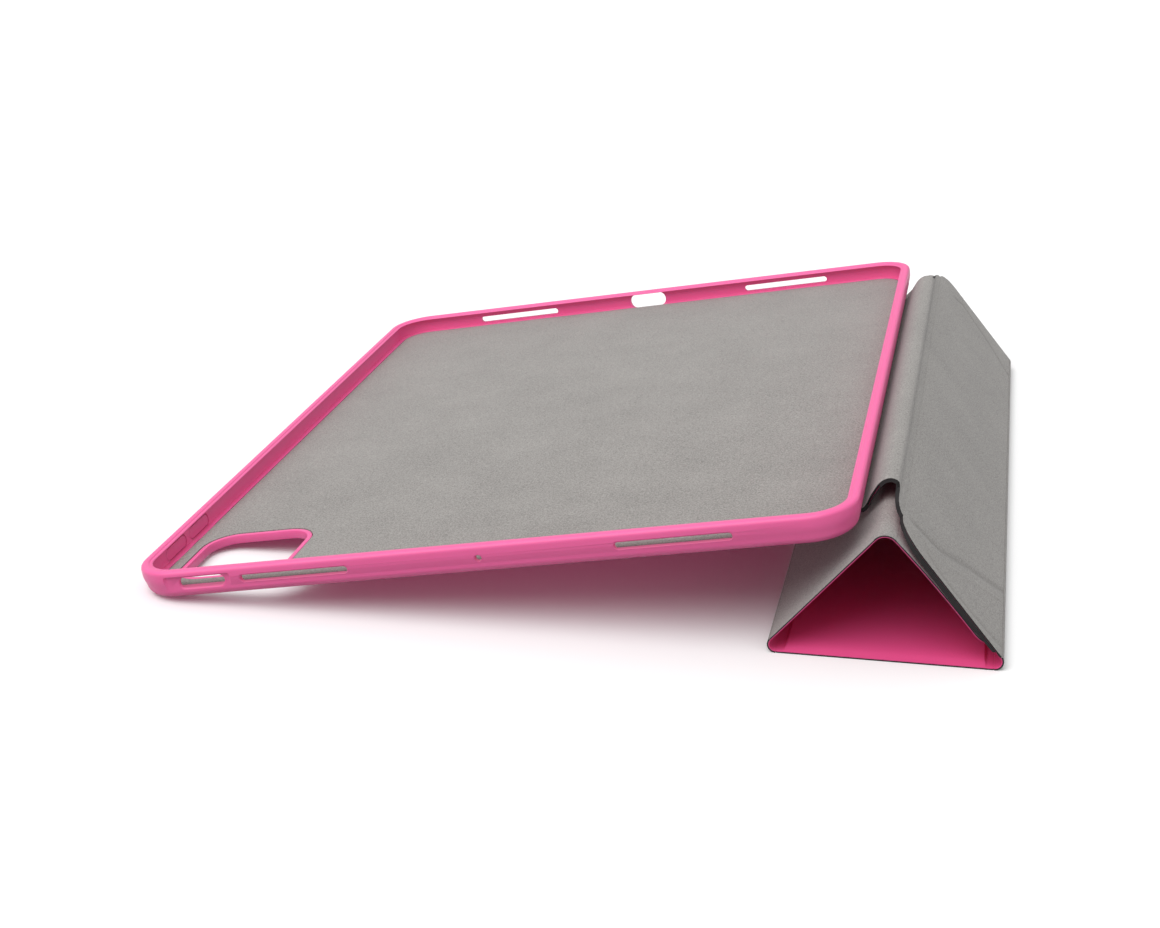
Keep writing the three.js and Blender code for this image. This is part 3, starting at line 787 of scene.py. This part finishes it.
front_points = fold(CREASE, FRONT, REAR, 1.8)
rear_points = fold(FRONT, REAR, APEX, 1.76)
apex_points = fold(REAR, APEX, FREE_EDGE, 3.26)
panel_one_start = CREASE + (FRONT - CREASE).normalized() * 1.3
TUCK = 2.6
END_BULGE = 0.65
TUCK_LEAN = 0.6
# The groove depth at which the painted shade in the pressed lines is full.
FULL_SHADE_DEPTH = -0.6
PANELS = [
    (1, panel_one_start, front_points[0], 0, 10, 0.4),
    (2, front_points[-1], rear_points[0], 0, 0.4, 0.4),
    (3, rear_points[-1], apex_points[0], 0, 0.4, 0.4),
    (4, apex_points[-1], FREE_EDGE, TUCK, 0.4, 6),
]
for number, start, end, tuck, start_radius, end_radius in PANELS:
    width = (end - start).length + tuck
    shape = (width, start_radius, end_radius)

    def lift(u, y):
        """How far the free panel leans out to panel 1: at its near end, and at its tucked edge."""
        if number != 4:
            return 0.0
        near_end = max(0.0, y + PANEL_HALF_LENGTH)
        bulge = END_BULGE * math.sin(math.pi * min(1, u / width)) ** 0.7 * math.exp(-near_end / 14)
        return bulge + TUCK_LEAN * eased((u - width + 6) / 6)

    def lining_top(u, y, inset):
        height = LINING_FACE + lift(u, y)
        if number == 1:
            height += pressed(u, y) - 0.2 * (1 - eased(u / 6))
        return height - 0.1 * (1 - eased(inset / 0.35))

    def lining_base(u, y, inset):
        return LAMINATE + lift(u, y)

    def sunk_at(u, y):
        """0 where the skin lies under the lining, 1 where it lies under the board."""
        at_folds = eased((min(u, width - u) - STEP_START) / (STEP_END - STEP_START))
        end_inset = PANEL_HALF_LENGTH - abs(y) - end_setback(u, width, start_radius, end_radius)
        at_ends = eased((end_inset + 1) / 6.5)
        return min(at_folds, at_ends)

    def skin_top(u, y, inset):
        sunk = sunk_at(u, y)
        return LAMINATE + (SKIN_BACK - LAMINATE) * sunk + lift(u, y) * (1 - sunk)

    def skin_base(u, y, inset):
        if number == 1:
            thick_rim = 0.3 * math.sin(math.pi * u / width) * math.exp(-(PANEL_HALF_LENGTH - abs(y)) / 8)
            height = SKIN_FACE + 0.2 * (1 - eased(u / 6)) + 0.3 * eased((u - width + 10) / 4) - thick_rim
            thin_share = 1 - eased((width - u - STEP_START) / (STEP_END - STEP_START))
            return height + (THIN_SKIN_FACE - height) * thin_share
        sunk = sunk_at(u, y)
        return THIN_SKIN_FACE + (SKIN_FACE - THIN_SKIN_FACE) * sunk + lift(u, y) * (1 - 0.5 * sunk)

    if number == 1:
        lining = panel_layer(f"panel_{number}_microfibre", shape, lining_base, lining_top, 0.8, (66, 36, 0.8))
    else:
        lining = panel_layer(f"panel_{number}_microfibre", shape, lining_base, lining_top)
    leather = panel_layer(f"panel_{number}_leathercloth", shape, skin_base, skin_top)
    for layer, slot, suffix, material in (
        (lining, "grey_lining", "lining", nap), (leather, "pink_skin", "skin", skin),
    ):
        painted = suffix == "lining" or number == 1
        rims = [painted and abs(face.normal.z) < 0.3 for face in layer.data.polygons]
        if layer == lining and number == 1:
            # Painted shade: the deeper a pressed line lies, the darker the lining colour is there.
            groove_shade = layer.data.attributes.new("pressed_line_shade", "FLOAT", "POINT")
            for at, vertex in enumerate(layer.data.vertices):
                groove_shade.data[at].value = pressed(vertex.co.x / MM, vertex.co.y / MM) / FULL_SHADE_DEPTH
        lay_panel(layer, start, end)
        soften(layer, 50)
        finish_piece(layer, f"panel_{number}", slot, [f"panel_{number}_{suffix}"], material, paint)
        paint_rims(layer, rims)

# ---------------------------------------------------------------------------
# Folds between the panels: the lining and skin run on without a board, thin
# and round, so each long edge of the prism is a soft roll.
# ---------------------------------------------------------------------------
FOLDS = [
    ("front_fold", front_points, 1, 2, "front_crease"),
    ("rear_fold", rear_points, 2, 3, "rear_crease"),
    ("apex_fold", apex_points, 3, 4, "apex_crease"),
]
for name, points, before, after, node in FOLDS:
    first = Vector((points[0].x, 0, points[0].y)) * MM
    last = Vector((points[-1].x, 0, points[-1].y)) * MM
    layers = [
        (f"{name}_microfibre", LAMINATE, LINING_FACE, "grey_lining", [node], nap, True),
        (f"{name}_leathercloth", THIN_SKIN_FACE, LAMINATE, "pink_skin", [], skin, False),
    ]
    for piece_name, low, high, slot, nodes, material, painted in layers:
        outline = strip_outline(points, low, high)
        strip = extruded(piece_name, outline, [PANEL_HALF_LENGTH] * len(outline))
        soften(strip, 40)
        finish_piece(strip, None, slot, nodes, material, paint)
        paint_rims(strip, [painted and len(face.vertices) > 4 for face in strip.data.polygons])
        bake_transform(strip)

# ---------------------------------------------------------------------------
# Spine: the end of the cover sheet that is glued under the tray, rises beside
# its wall, rolls over a soft crest and runs into panel 1.
# ---------------------------------------------------------------------------
SPINE_HALF_LENGTH = 115
SPINE_HALF = 0.6
SPINE_CORE = 0.15
SPINE_STEPS = 4
SPINE_RUN_OUT = 16.5
RUN_OUT_START = 9.4
RUN_OUT_SPANS = 2.6
SPINE_COURSE = [
    (211.2, 34.5), (213.5, 34.35), (214.95, 36.0), (216.0, 38.5), (216.95, 40.3), (218.0, 42.15),
    (219.3, 43.45), (220.8, 44.1), (221.95, 44.05), (222.85, 43.65), (223.35, 42.9), (223.65, 41.95),
]
# The course turns into panel 1, whose own direction its last points take.
course = [section_point(*point) for point in SPINE_COURSE] + [panel_one_start]


def smooth_through(points, steps, last_direction):
    """A smooth curve through section points, with the given steps in each span."""
    curve = []
    beyond = points[-1] + last_direction * (points[-1] - points[-2]).length
    for at in range(len(points) - 1):
        before = points[max(at - 1, 0)]
        here, there = points[at], points[at + 1]
        after = points[at + 2] if at + 2 < len(points) else beyond
        for step in range(steps):
            t = step / steps
            curve.append(
                0.5 * (2 * here + (there - before) * t + (2 * before - 5 * here + 4 * there - after) * t ** 2
                       + (3 * here - before - 3 * there + after) * t ** 3)
            )
    return curve + [points[-1]]


spine_curve = smooth_through(course, SPINE_STEPS, (FRONT - CREASE).normalized())
SPINE_PARTS = [
    ("spine_base_fold", 0, 2, "shell", "spine_flank", "spine_base_crease"),
    ("spine_flank", 2, 5, "spine_flank", None, None),
    ("spine_crest", 5, 10, "spine_flank", "spine_leaf", "spine_crest_crease"),
    ("spine_leaf", 10, 11, "spine_leaf", None, None),
    ("cover_fold", 11, 12, "spine_leaf", "panel_1", "cover_crease"),
]
for name, first, last, body, next_body, node in SPINE_PARTS:
    first, last = first * SPINE_STEPS, last * SPINE_STEPS
    # Past the crest the sheet's cut end runs out to meet the round corner of panel 1.
    halves = [
        SPINE_HALF_LENGTH + SPINE_RUN_OUT * eased((at / SPINE_STEPS - RUN_OUT_START) / RUN_OUT_SPANS)
        for at in range(first, last + 1)
    ]
    layers = [
        ("microfibre", SPINE_CORE, SPINE_HALF, "grey_lining", nap, "lining"),
        ("leathercloth", -SPINE_HALF, -SPINE_CORE, "pink_skin", skin, "skin"),
        ("core", -SPINE_CORE, SPINE_CORE, "board", paint, None),
    ]
    for layer_name, low, high, slot, material, part in layers:
        if name == "spine_flank" and layer_name == "core":
            continue
        nodes = []
        if next_body and layer_name == "microfibre":
            nodes = [node]
        elif not next_body and part:
            nodes = [f"{name}_{part}"]
        outline = strip_outline(spine_curve, low, high, first, last)
        strip = extruded(f"{name}_{layer_name}", outline, halves + halves[::-1])
        soften(strip, 40)
        finish_piece(strip, None if next_body else body, slot, nodes, material, paint)
        paint_rims(strip, [len(face.vertices) > 4 for face in strip.data.polygons])
        if next_body:
            start, end = (Vector((p.x, 0, p.y)) * MM for p in (spine_curve[first], spine_curve[last]))
            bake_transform(strip)

WING_SIZE = (22.8, 230)
WING_PLACE = (95.4, 0)
wing = rounded_slab("spine_glued_wing", WING_SIZE, 4, -1.3, -0.1, 0.2, WING_PLACE)
stand_tray(wing)
soften(wing)
finish_piece(wing, "shell", "pink_skin", ["spine_wing"], skin)
